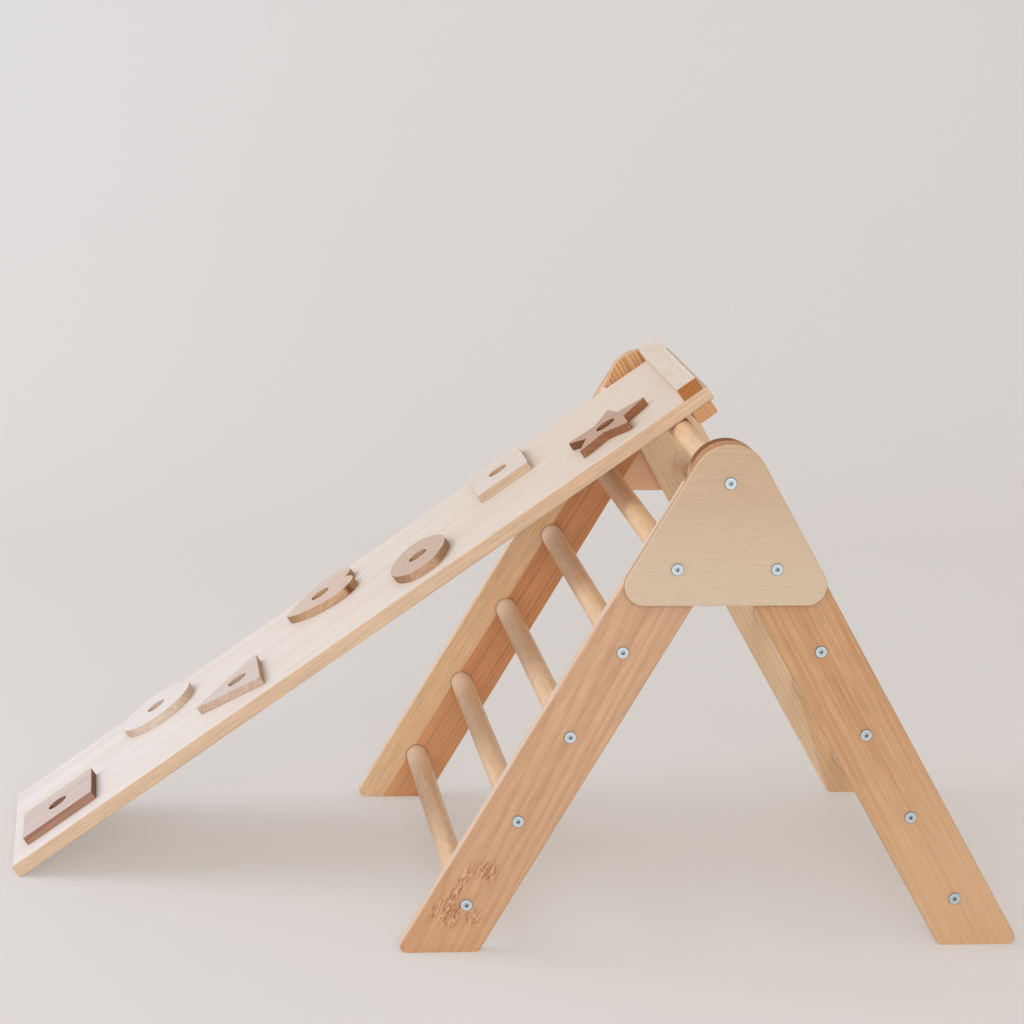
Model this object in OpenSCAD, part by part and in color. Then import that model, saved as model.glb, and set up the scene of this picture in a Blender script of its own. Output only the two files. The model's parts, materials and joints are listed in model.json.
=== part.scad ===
// Folding climbing triangle with a ramp that hooks over its top rung.
// Two ladders lean on each other; the left one swings on two bolts to fold flat.
// Sizes in millimetres. +Z is up and the floor is Z 0. The rungs run along Y,
// and the ramp climbs along +X to the top rung.

/* [Ladders] */
// Distance between two rungs along a rail
rung_pitch = 125; // [118:1:135]
// Height of the lowest rung's axis above the floor
low_rung_height = 62; // [55:1:75]
// Lean of both ladders from the floor, in degrees
rail_angle = 60; // [58:0.5:62]
// Clear width between the two right rails
inner_width = 660; // [560:5:760]
// Diameter of a rung
rung_diameter = 30; // [26:1:34]
// Depth of the blind socket that houses a rung's end
housing_depth = 6; // [4:0.5:8]

/* [Rails] */
// Width of a rail
rail_width = 92; // [84:1:98]
// Thickness of a rail
rail_thickness = 19; // [17:0.5:24]
// Rounding of a rail's four long edges
rail_arris = 3; // [1:0.5:5]
// Rounding of the corners at a rail's foot
foot_corner = 9; // [4:1:12]
// Distance of the round head's centre beyond the top rung's axis
head_offset = 6; // [3:0.5:8]
// Distance of a left rail's square shoulder from the top rung's axis
shoulder_distance = 29; // [27:0.5:33]

/* [Side plates] */
// Thickness of a side plate
plate_thickness = 12; // [9:0.5:15]
// Distance that a side plate stands out beyond the rails' edges
plate_margin = 2.4; // [1:0.2:5]
// Distance from the top rung's axis down to a side plate's lower edge
plate_depth = 155; // [145:1:170]
// Rounding of a side plate's two lower corners
plate_corner = 25; // [12:1:32]

/* [Bolts and inserts] */
// Diameter of a bolt's flat head
head_diameter = 15; // [13:0.5:18]
// Height of a bolt's flat head
head_height = 2.2; // [1.8:0.1:3]
// Diameter of a bolt's shank
shank_diameter = 5.8; // [5:0.1:6.5]
// Width across the flats of a bolt's hexagon socket
socket_width = 4; // [3:0.5:4.5]
// Length of a bolt's shank inside its rung
rung_grip = 22; // [19:1:26]
// Outer diameter of a threaded insert
insert_diameter = 10; // [9:0.5:12]
// Length of a threaded insert
insert_length = 15; // [12:1:17]

/* [Ramp] */
// Length of the ramp's board
ramp_length = 1120; // [1050:5:1250]
// Width of the ramp's board
ramp_width = 325; // [300:5:380]
// Thickness of the ramp's board
ramp_thickness = 20; // [17:0.5:24]
// Gap between the ramp's far edge and the far rail
ramp_side_gap = 29; // [8:1:60]
// Rounding of the board's two ends, seen from the side
ramp_end_round = 4; // [2:0.5:6]
// Rounding of the board's two long edges on each face
ramp_arris = 2; // [1:0.5:3]
// Width of a cleat along the board
cleat_width = 30; // [22:1:36]
// Height of a cleat
cleat_height = 18; // [16:1:24]
// Rounding of the lower edges of the cleat that hooks on
hook_round = 4; // [2:0.5:6]
// Play between the top rung and the cleat that hooks behind it
hook_play = 7.5; // [1:0.5:12]
// Distance from the cleats to the board's upper end
cleat_inset = 6; // [1:0.5:10]

/* [Ramp holds] */
// Thickness of a hold
hold_thickness = 12; // [9:0.5:18]
// Diameter of the finger hole in each hold
finger_hole = 28; // [22:1:32]
// Side of the square hold and diameter of the round one
hold_size = 112; // [104:1:120]
// Rounding of the corners of the straight-sided holds
hold_corner = 3; // [2:0.5:6]
// Base of the triangular hold, across the ramp, before its corners are rounded
triangle_base = 126; // [118:1:134]
// Height of the triangular hold, along the ramp, before its corners are rounded
triangle_height = 105; // [98:1:112]
// Rounding of the triangular hold's corners
triangle_corner = 4; // [2:0.5:6]
// Reach of the star's tips before they are rounded
star_reach = 68; // [64:1:72]
// Distance of the star's notches from its middle
star_notch = 32; // [29:0.5:36]
// Turn of the star-shaped hold on the ramp, in degrees
star_turn = 5; // [0:1:12]
// Length of the rectangular hold along the ramp
rectangle_length = 84; // [76:1:92]
// Width of the rectangular hold across the ramp
rectangle_width = 120; // [112:1:128]

/* [Hidden] */
$fn = 96;

// Running play between the pieces that swing and those that stay
swing_play = 0.3;
// Gap that the left rails' mitres keep from the right rails' edges
stop_gap = 0.4;
// Radial play of a rung's end in its socket
socket_play = 0.1;
// Radial play of a bolt's shank in a rail or a plate that it clamps
bolt_play = 0.35;
// Radial play of a pivot bolt in its bearing hole
pivot_play = 0.05;
// Radial play of pieces that are driven or glued in
snug_play = 0.05;
// Excess length of a cutting shape beyond the face that it opens
cut_over = 2;
// Excess radius that lets an arc cross the edge it runs into, where it would only touch it
arc_excess = 0.0005;

// Number of rungs in each ladder below the top rung
rung_count = 5;
rung_radius = rung_diameter / 2;
rail_half = rail_width / 2;
apex_height = low_rung_height + rung_count * rung_pitch * sin(rail_angle);

// Positions across the object, from its upright middle plane outward
right_inner_y = inner_width / 2;
right_outer_y = right_inner_y + rail_thickness;
plate_outer_y = right_outer_y + plate_thickness;
left_outer_y = right_outer_y - swing_play;
left_inner_y = left_outer_y - rail_thickness;
right_rung_end_y = right_inner_y + housing_depth;
left_rung_end_y = left_inner_y + housing_depth;

// Ends of a rail's two edges on the floor, measured along its axis from the top
foot_outer = (apex_height + rail_half * cos(rail_angle)) / sin(rail_angle);
foot_inner = (apex_height - rail_half * cos(rail_angle)) / sin(rail_angle);

// The right rail seen from the left rail's own axes: along it and out of its edge
fold_angle = 180 - 2 * rail_angle;
across_right = [sin(fold_angle), cos(fold_angle)];
along_right = [cos(fold_angle), -sin(fold_angle)];
head_seen = -head_offset * along_right;
clear_half = rail_half + stop_gap;

// The nose of a left rail is an arc about its pivot, so that it clears while it folds
pivot_spot = [rung_pitch, 0];
nose_radius = pivot_spot * across_right - clear_half;
nose_start = pivot_spot - across_right * nose_radius;
nose_end = [rung_pitch - sqrt(nose_radius * nose_radius - rail_half * rail_half), -rail_half];

// Spots of the rungs in the upright plane, from the top rung's axis; number 1 is the lowest
function right_spot(number) =
    (rung_count + 1 - number) * rung_pitch * [cos(rail_angle), -sin(rail_angle)];
function left_spot(number) = [-right_spot(number).x, right_spot(number).y];
top_spot = [0, 0];
upper_number = rung_count;
lower_numbers = [1 : rung_count - 1];
all_numbers = [1 : rung_count];

// The ramp rests on the top rung and on the rounded edge of its lower end
rung_standoff = rung_radius + swing_play;
hook_distance = ramp_length - cleat_inset - cleat_width - hook_play - rung_radius;
lean_run = hook_distance - ramp_end_round;
lean_drop = rung_standoff + ramp_end_round;
lean_reach = sqrt(lean_run * lean_run + lean_drop * lean_drop);
ramp_slope = atan(lean_drop / lean_run) + asin((apex_height - ramp_end_round) / lean_reach);
ramp_far_y = right_inner_y - ramp_side_gap;
ramp_near_y = ramp_far_y - ramp_width;
ramp_middle_y = (ramp_far_y + ramp_near_y) / 2;
cleat_start = ramp_length - cleat_inset - cleat_width;

// The overall length along X, used to put the middle of the object at X 0
toe_x = foot_outer * cos(rail_angle) + rail_half * sin(rail_angle)
    - foot_corner / tan(rail_angle / 2) + foot_corner;
low_end_x = -lean_run * cos(ramp_slope) - lean_drop * sin(ramp_slope)
    - (ramp_thickness - 2 * ramp_end_round) * sin(ramp_slope) - ramp_end_round;
apex_x = -(toe_x + low_end_x) / 2;

// Bolt details
head_bevel = 0.6;
shank_tip = 0.8;
socket_depth = 2.8;
thread_play = 0.1;
rung_end_bevel = 1;
insert_room = 3;

// Holds: how far up the board each finger hole lies, as a share of the board's length,
// and its distance across the board from the middle line
square_spot = [0.073, -62];
circle_spot = [0.221, 80];
triangle_spot = [0.337, -67];
heart_spot = [0.469, 72];
oval_spot = [0.602, -70];
rectangle_spot = [0.737, 75];
star_spot = [0.877, -66.5];

// Heart: two lobes and two long side arcs that meet at the tip
heart_tip = 57;
heart_lobe_spot = [21, 25];
heart_side_spot = [38, 47];
heart_side = norm([heart_side_spot.x + heart_tip, heart_side_spot.y]);
// From the centre of a side arc to the centre of the lobe that it runs into
heart_span = [heart_lobe_spot.x - heart_side_spot.x, heart_lobe_spot.y + heart_side_spot.y];
heart_lobe = heart_side - norm(heart_span);
// Oval: two end arcs and two side arcs that run smoothly into each other
oval_half = [44, 67];
oval_end = 30;
oval_end_offset = oval_half.y - oval_end;
// Centre of the side arcs, so that they touch the end arcs
oval_slack = oval_half.x - oval_end;
oval_side_offset = (oval_end_offset * oval_end_offset - oval_slack * oval_slack) / (2 * oval_slack);
oval_side = oval_half.x + oval_side_offset;

// Dowels under the holds
dowel_diameter = 8;
dowel_spread = 27;
dowel_length = 18;
dowel_in_board = 10;
dowel_room = 1;

// Brads in the upper cleat and screws in the lower one
brad_diameter = 1.8;
brad_length = 30;
brad_margin = 14;
brad_count = 4;
screw_diameter = 4;
screw_head = 8;
screw_length = 30;
screw_margin = 38;
screw_count = 4;
screw_slot = 2.5;

// Colours
rail_colour = [0.80, 0.62, 0.42];
rung_colour = [0.88, 0.78, 0.64];
plate_colour = [0.90, 0.83, 0.74];
ramp_colour = [0.91, 0.85, 0.76];
cleat_colour = [0.83, 0.66, 0.47];
dark_hold_colour = [0.45, 0.30, 0.21];
mid_hold_colour = [0.63, 0.43, 0.30];
pale_hold_colour = [0.87, 0.78, 0.70];
zinc_colour = [0.78, 0.80, 0.84];
brass_colour = [0.76, 0.64, 0.36];

// ---------- outlines ----------

function unit(v) = v / norm(v);

// What a rounding of radius r takes off a corner at the origin, whose two edges
// leave it in the directions to_before and to_after
module corner_waste(to_before, to_after, r) {
    half = acos(to_before * to_after) / 2;
    inward = unit(to_before + to_after);
    centre = inward * r / sin(half);
    first_end = to_before * r / tan(half);
    last_end = to_after * r / tan(half);
    difference() {
        polygon([
            centre,
            first_end + unit(first_end - centre) * cut_over,
            -inward * cut_over / sin(half),
            last_end + unit(last_end - centre) * cut_over
        ]);
        translate(centre)
            circle(r = r + arc_excess);
    }
}

// Polygon whose outward corners are rounded; a radius of 0 keeps a corner sharp
module rounded_outline(points, radii) {
    count = len(points);
    difference() {
        polygon(points);
        for (i = [0 : count - 1])
            if (radii[i] > 0)
                translate(points[i])
                    corner_waste(
                        unit(points[(i + count - 1) % count] - points[i]),
                        unit(points[(i + 1) % count] - points[i]),
                        radii[i]);
    }
}

// Rectangle about its middle with all four corners rounded
module rounded_rectangle(size, r) {
    w = size.x / 2;
    h = size.y / 2;
    rounded_outline([[-w, -h], [w, -h], [w, h], [-w, h]], [r, r, r, r]);
}

// ---------- placing ----------

module at_apex() {
    translate([apex_x, 0, apex_height])
        children();
}

// Extrudes an outline of the upright plane from y0 to y1
module across(y0, y1) {
    translate([0, y1, 0])
        rotate([90, 0, 0])
            linear_extrude(y1 - y0)
                children();
}

// Round rod along Y from y0 to y1
module rod(spot, diameter, y0, y1) {
    translate([spot.x, y0, spot.y])
        rotate([-90, 0, 0])
            cylinder(d = diameter, h = y1 - y0);
}

module both_sides() {
    children();
    mirror([0, 1, 0])
        children();
}

// Ramp axes: X up along the board from its lower end, Z out of its upper face
module on_ramp() {
    at_apex()
        rotate([0, -ramp_slope, 0])
            translate([-hook_distance, 0, rung_standoff])
                children();
}

// ---------- rails ----------

// Outline of a rail along +X, from its upper end at start down to its foot on the floor
module rail_outline(start, head_round) {
    rounded_outline(
        [[start, rail_half], [foot_outer, rail_half], [foot_inner, -rail_half], [start, -rail_half]],
        [head_round, foot_corner, foot_corner, head_round]);
}

// Right rail: its head is a full round about a centre beyond the top rung
module right_rail_outline() {
    rail_outline(-head_offset - rail_half, rail_half);
}

// The right rail's outline with the stop gap added, seen from the left rail's axes
module right_rail_clearance() {
    translate(head_seen)
        circle(r = clear_half + arc_excess);
    polygon([
        head_seen + across_right * clear_half,
        head_seen + across_right * clear_half + along_right * rail_width * 2,
        head_seen - across_right * clear_half + along_right * rail_width * 2,
        head_seen - across_right * clear_half
    ]);
}

// The corner beyond the nose's arc, which would foul the right rail while it folds
module nose_waste() {
    difference() {
        polygon([
            nose_start,
            nose_start - across_right * cut_over,
            nose_start - across_right * cut_over + along_right * rail_width / 4,
            nose_end + [0, -3 * cut_over],
            nose_end
        ]);
        translate(pivot_spot)
            circle(r = nose_radius + arc_excess);
    }
}

// Left rail: square shoulder, cope round the head, mitre along the edge, round nose
module left_rail_outline() {
    difference() {
        rail_outline(shoulder_distance, 0);
        right_rail_clearance();
        nose_waste();
    }
}

// Planed bar along a rail with its long edges eased, from the inner to the outer face
module planed_bar(y0) {
    translate([-rail_width, 0, 0])
        rotate([90, 0, 90])
            linear_extrude(rail_width + foot_outer + rail_half)
                translate([y0 + rail_thickness / 2, 0])
                    rounded_rectangle([rail_thickness, rail_width], rail_arris);
}

// Bolt hole and blind rung socket in a rail of the +Y side
module rung_seat(spot, y0) {
    rod(spot, shank_diameter + 2 * bolt_play, y0, y0 + rail_thickness + cut_over);
    rod(spot, rung_diameter + 2 * socket_play, y0 - cut_over, y0 + housing_depth);
}

module right_rail() {
    difference() {
        intersection() {
            rotate([0, rail_angle, 0])
                planed_bar(right_inner_y);
            across(right_inner_y - cut_over, right_outer_y + cut_over)
                rotate(-rail_angle)
                    right_rail_outline();
        }
        rung_seat(top_spot, right_inner_y);
        for (number = all_numbers)
            rung_seat(right_spot(number), right_inner_y);
    }
}

module left_rail() {
    difference() {
        mirror([1, 0, 0])
            intersection() {
                rotate([0, rail_angle, 0])
                    planed_bar(left_inner_y);
                across(left_inner_y - cut_over, left_outer_y + cut_over)
                    rotate(-rail_angle)
                        left_rail_outline();
            }
        for (number = all_numbers)
            rung_seat(left_spot(number), left_inner_y);
    }
}

module right_rail_far() {
    color(rail_colour)
        at_apex()
            right_rail();
}

module right_rail_near() {
    color(rail_colour)
        at_apex()
            mirror([0, 1, 0])
                right_rail();
}

module left_rail_far() {
    color(rail_colour)
        at_apex()
            left_rail();
}

module left_rail_near() {
    color(rail_colour)
        at_apex()
            mirror([0, 1, 0])
                left_rail();
}

// ---------- rungs ----------

// Half of a rung's turned profile, with its end eased
module rung_half(end_y) {
    rotate([-90, 0, 0])
        rotate_extrude()
            polygon([
                [0, 0],
                [rung_radius, 0],
                [rung_radius, end_y - rung_end_bevel],
                [rung_radius - rung_end_bevel, end_y],
                [0, end_y]
            ]);
}

// Bore for an insert and the bolt's tip behind it, in the +Y end of a rung
module insert_bore(end_y) {
    rod(top_spot, insert_diameter + 2 * snug_play, end_y - insert_length, end_y + cut_over);
    rod(top_spot, shank_diameter + 2 * bolt_play, end_y - rung_grip - insert_room, end_y);
}

module rung(spot, end_y) {
    color(rung_colour)
        at_apex()
            translate([spot.x, 0, spot.y])
                difference() {
                    both_sides()
                        rung_half(end_y);
                    both_sides()
                        insert_bore(end_y);
                }
}

module top_rung() {
    rung(top_spot, right_rung_end_y);
}

module right_rung_1() {
    rung(right_spot(1), right_rung_end_y);
}

module right_rung_2() {
    rung(right_spot(2), right_rung_end_y);
}

module right_rung_3() {
    rung(right_spot(3), right_rung_end_y);
}

module right_rung_4() {
    rung(right_spot(4), right_rung_end_y);
}

module right_rung_5() {
    rung(right_spot(5), right_rung_end_y);
}

module left_rung_1() {
    rung(left_spot(1), left_rung_end_y);
}

module left_rung_2() {
    rung(left_spot(2), left_rung_end_y);
}

module left_rung_3() {
    rung(left_spot(3), left_rung_end_y);
}

module left_rung_4() {
    rung(left_spot(4), left_rung_end_y);
}

module left_rung_5() {
    rung(left_spot(5), left_rung_end_y);
}

// ---------- side plates ----------

// Round top about the top rung, straight sides along the rails, level lower edge
module plate_outline() {
    reach = rail_half + plate_margin;
    lower_x = (reach + plate_depth * cos(rail_angle)) / sin(rail_angle);
    rounded_outline(
        [[0, reach / cos(rail_angle)], [lower_x, -plate_depth], [-lower_x, -plate_depth]],
        [reach, plate_corner, plate_corner]);
}

module side_plate() {
    fixed_hole = shank_diameter + 2 * bolt_play;
    pivot_hole = shank_diameter + 2 * pivot_play;
    from_y = right_outer_y - cut_over;
    to_y = plate_outer_y + cut_over;
    difference() {
        across(right_outer_y, plate_outer_y)
            plate_outline();
        rod(top_spot, fixed_hole, from_y, to_y);
        rod(right_spot(upper_number), fixed_hole, from_y, to_y);
        rod(left_spot(upper_number), pivot_hole, from_y, to_y);
    }
}

module side_plate_far() {
    color(plate_colour)
        at_apex()
            side_plate();
}

module side_plate_near() {
    color(plate_colour)
        at_apex()
            mirror([0, 1, 0])
                side_plate();
}

// ---------- bolts and inserts ----------

// Bolt of the +Y side: the flat underside of its head lies at head_y
module bolt(spot, head_y, rung_end_y) {
    tip_y = rung_end_y - rung_grip;
    shank = shank_diameter / 2;
    head = head_diameter / 2;
    length = head_y - tip_y;
    translate([spot.x, tip_y, spot.y])
        rotate([-90, 0, 0])
            difference() {
                rotate_extrude()
                    polygon([
                        [0, 0],
                        [shank - shank_tip, 0],
                        [shank, shank_tip],
                        [shank, length],
                        [head, length],
                        [head, length + head_height - head_bevel],
                        [head - head_bevel, length + head_height],
                        [0, length + head_height]
                    ]);
                translate([0, 0, length + head_height - socket_depth])
                    cylinder(d = socket_width / cos(30), h = socket_depth + cut_over, $fn = 6);
            }
}

// Threaded sleeve in the +Y end of a rung
module insert(spot, end_y) {
    difference() {
        rod(spot, insert_diameter, end_y - insert_length, end_y);
        rod(spot, shank_diameter + 2 * thread_play, end_y - insert_length - cut_over, end_y + cut_over);
    }
}

module right_rail_bolts() {
    color(zinc_colour)
        at_apex()
            both_sides()
                for (number = lower_numbers)
                    bolt(right_spot(number), right_outer_y, right_rung_end_y);
}

module plate_bolts() {
    color(zinc_colour)
        at_apex()
            both_sides()
                for (spot = [top_spot, right_spot(upper_number)])
                    bolt(spot, plate_outer_y, right_rung_end_y);
}

module right_rung_inserts() {
    color(brass_colour)
        at_apex()
            both_sides() {
                insert(top_spot, right_rung_end_y);
                for (number = all_numbers)
                    insert(right_spot(number), right_rung_end_y);
            }
}

module left_rail_bolts() {
    color(zinc_colour)
        at_apex()
            both_sides()
                for (number = lower_numbers)
                    bolt(left_spot(number), left_outer_y, left_rung_end_y);
}

module pivot_bolts() {
    color(zinc_colour)
        at_apex()
            both_sides()
                bolt(left_spot(upper_number), plate_outer_y + swing_play, left_rung_end_y);
}

module left_rung_inserts() {
    color(brass_colour)
        at_apex()
            both_sides()
                for (number = all_numbers)
                    insert(left_spot(number), left_rung_end_y);
}

// ---------- ramp ----------

function hold_place(spot) = [spot.x * ramp_length, ramp_middle_y + spot.y, ramp_thickness];

// Runs its children once for every hold's place and turn
module at_holds() {
    for (spot = [square_spot, circle_spot, triangle_spot, heart_spot, oval_spot, rectangle_spot])
        translate(hold_place(spot))
            children();
    translate(hold_place(star_spot))
        rotate(star_turn)
            children();
}

// The two dowel places of one hold, on either side of its finger hole
module at_dowels() {
    for (side = [-1, 1])
        translate([0, side * dowel_spread, 0])
            children();
}

// Evenly spaced places across the ramp, along the middle of the cleats
module at_cleat_row(count, margin) {
    step = (ramp_width - 2 * margin) / (count - 1);
    for (i = [0 : count - 1])
        translate([cleat_start + cleat_width / 2, ramp_near_y + margin + i * step, 0])
            children();
}

module ramp_board() {
    color(ramp_colour)
        on_ramp()
            difference() {
                intersection() {
                    across(ramp_near_y - cut_over, ramp_far_y + cut_over)
                        translate([ramp_length / 2, ramp_thickness / 2])
                            rounded_rectangle([ramp_length, ramp_thickness], ramp_end_round);
                    translate([-cut_over, 0, 0])
                        rotate([90, 0, 90])
                            linear_extrude(ramp_length + 2 * cut_over)
                                translate([ramp_middle_y, ramp_thickness / 2])
                                    rounded_rectangle([ramp_width, ramp_thickness], ramp_arris);
                }
                at_holds()
                    at_dowels()
                        translate([0, 0, -dowel_in_board])
                            cylinder(d = dowel_diameter + 2 * snug_play, h = dowel_in_board + cut_over);
                at_cleat_row(brad_count, brad_margin)
                    translate([0, 0, ramp_thickness + cleat_height - brad_length])
                        cylinder(d = brad_diameter + 2 * snug_play, h = brad_length);
                at_cleat_row(screw_count, screw_margin)
                    translate([0, 0, -cut_over])
                        cylinder(
                            d = screw_diameter + 2 * snug_play,
                            h = screw_length - cleat_height + cut_over);
            }
}

// Lower cleat: its face hooks behind the top rung
module hook_cleat() {
    color(cleat_colour)
        on_ramp()
            difference() {
                across(ramp_near_y, ramp_far_y)
                    rounded_outline(
                        [
                            [cleat_start, 0],
                            [cleat_start, -cleat_height],
                            [cleat_start + cleat_width, -cleat_height],
                            [cleat_start + cleat_width, 0]
                        ],
                        [0, hook_round, hook_round, 0]);
                at_cleat_row(screw_count, screw_margin)
                    screw_shape(snug_play);
            }
}

module top_cleat() {
    color(cleat_colour)
        on_ramp()
            difference() {
                across(ramp_near_y, ramp_far_y)
                    translate([cleat_start, ramp_thickness])
                        square([cleat_width, cleat_height]);
                at_cleat_row(brad_count, brad_margin)
                    translate([0, 0, ramp_thickness - cut_over])
                        cylinder(d = brad_diameter + 2 * snug_play, h = cleat_height + 2 * cut_over);
            }
}

module cleat_brads() {
    color(zinc_colour)
        on_ramp()
            at_cleat_row(brad_count, brad_margin)
                translate([0, 0, ramp_thickness + cleat_height - brad_length])
                    cylinder(d = brad_diameter, h = brad_length);
}

// Countersunk screw that points up from the lower cleat's underside
module screw_shape(play) {
    body = screw_diameter / 2 + play;
    head = screw_head / 2 + play;
    translate([0, 0, -cleat_height])
        rotate_extrude()
            polygon([
                [0, 0],
                [head, 0],
                [body, head - body],
                [body, screw_length],
                [0, screw_length]
            ]);
}

module hook_screws() {
    color(zinc_colour)
        on_ramp()
            at_cleat_row(screw_count, screw_margin)
                difference() {
                    screw_shape(0);
                    translate([0, 0, -cleat_height - cut_over])
                        cylinder(d = screw_slot / cos(30), h = cut_over + screw_slot, $fn = 6);
                }
}

// One hold: its outline as children, with the finger hole and two dowel sockets
module hold(tone) {
    color(tone)
        difference() {
            linear_extrude(hold_thickness)
                children();
            translate([0, 0, -cut_over])
                cylinder(d = finger_hole, h = hold_thickness + 2 * cut_over);
            at_dowels()
                translate([0, 0, -cut_over])
                    cylinder(
                        d = dowel_diameter + 2 * snug_play,
                        h = dowel_length - dowel_in_board + dowel_room + cut_over);
        }
}

module hold_square() {
    on_ramp()
        translate(hold_place(square_spot))
            hold(dark_hold_colour)
                rounded_rectangle([hold_size, hold_size], hold_corner);
}

module hold_circle() {
    on_ramp()
        translate(hold_place(circle_spot))
            hold(pale_hold_colour)
                circle(d = hold_size);
}

// Triangle with its tip down the ramp and its finger hole a third of the way up from its base
module hold_triangle() {
    base_x = triangle_height / 3;
    half_base = triangle_base / 2;
    on_ramp()
        translate(hold_place(triangle_spot))
            hold(pale_hold_colour)
                rounded_outline(
                    [[base_x - triangle_height, 0], [base_x, -half_base], [base_x, half_base]],
                    [triangle_corner, triangle_corner, triangle_corner]);
}

module heart_outline() {
    // Where the side arcs run into the lobes
    meet_x = heart_lobe_spot.x + unit(heart_span).x * heart_lobe;
    for (side = [-1, 1])
        translate([heart_lobe_spot.x, side * heart_lobe_spot.y])
            circle(r = heart_lobe + arc_excess);
    intersection() {
        translate([heart_side_spot.x, heart_side_spot.y])
            circle(r = heart_side);
        translate([heart_side_spot.x, -heart_side_spot.y])
            circle(r = heart_side);
        translate([-heart_tip - cut_over, -heart_side_spot.y - heart_lobe])
            square([heart_tip + cut_over + meet_x, 2 * (heart_side_spot.y + heart_lobe)]);
    }
}

module hold_heart() {
    on_ramp()
        translate(hold_place(heart_spot))
            hold(mid_hold_colour)
                heart_outline();
}

module oval_outline() {
    meet_y = oval_end_offset * oval_side / norm([oval_side_offset, oval_end_offset]);
    for (side = [-1, 1])
        translate([0, side * oval_end_offset])
            circle(r = oval_end + arc_excess);
    intersection() {
        translate([-oval_side_offset, 0])
            circle(r = oval_side);
        translate([oval_side_offset, 0])
            circle(r = oval_side);
        translate([-oval_half.x - cut_over, -meet_y])
            square([2 * (oval_half.x + cut_over), 2 * meet_y]);
    }
}

module hold_oval() {
    on_ramp()
        translate(hold_place(oval_spot))
            hold(mid_hold_colour)
                oval_outline();
}

module hold_rectangle() {
    on_ramp()
        translate(hold_place(rectangle_spot))
            hold(pale_hold_colour)
                rounded_rectangle([rectangle_length, rectangle_width], hold_corner);
}

// Five tips with sharp notches between them
module star_outline() {
    points = [
        for (i = [0 : 9])
            (i % 2 == 0 ? star_reach : star_notch) * [cos(36 * i), sin(36 * i)]
    ];
    rounded_outline(points, [for (i = [0 : 9]) i % 2 == 0 ? hold_corner : 0]);
}

module hold_star() {
    on_ramp()
        translate(hold_place(star_spot))
            rotate(star_turn)
                hold(dark_hold_colour)
                    star_outline();
}

module hold_dowels() {
    color(rung_colour)
        on_ramp()
            at_holds()
                at_dowels()
                    translate([0, 0, -dowel_in_board])
                        cylinder(d = dowel_diameter, h = dowel_length);
}

// ---------- assembly ----------

right_rail_near();
right_rail_far();
top_rung();
right_rung_1();
right_rung_2();
right_rung_3();
right_rung_4();
right_rung_5();
side_plate_near();
side_plate_far();
right_rail_bolts();
plate_bolts();
right_rung_inserts();
left_rail_near();
left_rail_far();
left_rung_1();
left_rung_2();
left_rung_3();
left_rung_4();
left_rung_5();
left_rail_bolts();
pivot_bolts();
left_rung_inserts();
ramp_board();
hook_cleat();
top_cleat();
cleat_brads();
hook_screws();
hold_square();
hold_circle();
hold_triangle();
hold_heart();
hold_oval();
hold_rectangle();
hold_star();
hold_dowels();
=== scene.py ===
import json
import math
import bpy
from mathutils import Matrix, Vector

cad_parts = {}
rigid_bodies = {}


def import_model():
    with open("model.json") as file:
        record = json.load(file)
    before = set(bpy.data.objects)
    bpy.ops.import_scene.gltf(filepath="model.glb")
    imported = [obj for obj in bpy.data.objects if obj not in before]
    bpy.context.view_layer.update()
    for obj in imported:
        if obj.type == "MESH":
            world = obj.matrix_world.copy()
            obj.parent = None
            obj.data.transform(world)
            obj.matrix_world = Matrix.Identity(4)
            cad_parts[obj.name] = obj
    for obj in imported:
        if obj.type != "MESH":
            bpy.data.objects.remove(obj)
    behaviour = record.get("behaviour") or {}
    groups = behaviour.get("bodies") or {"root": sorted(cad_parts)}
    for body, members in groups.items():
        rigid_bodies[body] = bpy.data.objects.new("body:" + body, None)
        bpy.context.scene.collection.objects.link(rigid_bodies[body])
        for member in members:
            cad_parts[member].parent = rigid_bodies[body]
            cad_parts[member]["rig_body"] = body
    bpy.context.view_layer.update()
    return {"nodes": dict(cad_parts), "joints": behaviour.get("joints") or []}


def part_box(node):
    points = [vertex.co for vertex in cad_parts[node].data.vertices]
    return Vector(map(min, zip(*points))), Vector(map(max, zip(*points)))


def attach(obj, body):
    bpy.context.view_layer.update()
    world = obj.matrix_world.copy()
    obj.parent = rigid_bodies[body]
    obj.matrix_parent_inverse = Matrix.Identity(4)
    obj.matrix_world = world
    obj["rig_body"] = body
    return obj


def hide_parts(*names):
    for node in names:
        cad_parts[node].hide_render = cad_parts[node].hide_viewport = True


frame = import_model()

# %% [markdown]
# A climbing triangle for small children: two ladders that share a top rung, and a board that
# hooks over it as a ramp. The joinery comes in as finished solids, so this script is about what
# the hand and the eye meet: eased edges, timber, plywood, zinc, and soft daylight. Lengths in the
# scene are metres. Patterns in the materials are written in millimetres, as a maker would
# measure a ring or a fibre.

# %% The frame and its size before dressing
from types import SimpleNamespace

import bmesh
import bpy
from mathutils import Euler, Matrix, Vector

MM = 0.001
nodes = frame["nodes"]

# %% [markdown]
# The ladders meet at the axis of the top rung, and every rail runs down from there at 60 degrees.
# That point, the slopes and the spacing of the rungs are enough to lay the grain of each board
# along its own length, and to know where each rung enters a rail.

# %% Where the boards run
RAIL_TURN = math.radians(60)
RUNG_PITCH = 125.0  # mm from rung to rung along a rail
apex = Vector(next(j["pos_m"] for j in frame["joints"] if j["name"] == "ramp_lift"))


def middle(node):
    """The middle of a node's box, in metres."""
    low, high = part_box(node)
    return (low + high) / 2


# the round hold and the rectangular one lie at the same height above the board
along_board = middle("hold_rectangle") - middle("hold_circle")
ramp_turn = math.atan2(along_board.z, along_board.x)
print("apex", tuple(round(c, 4) for c in apex), "ramp slope", round(math.degrees(ramp_turn), 2))

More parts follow.
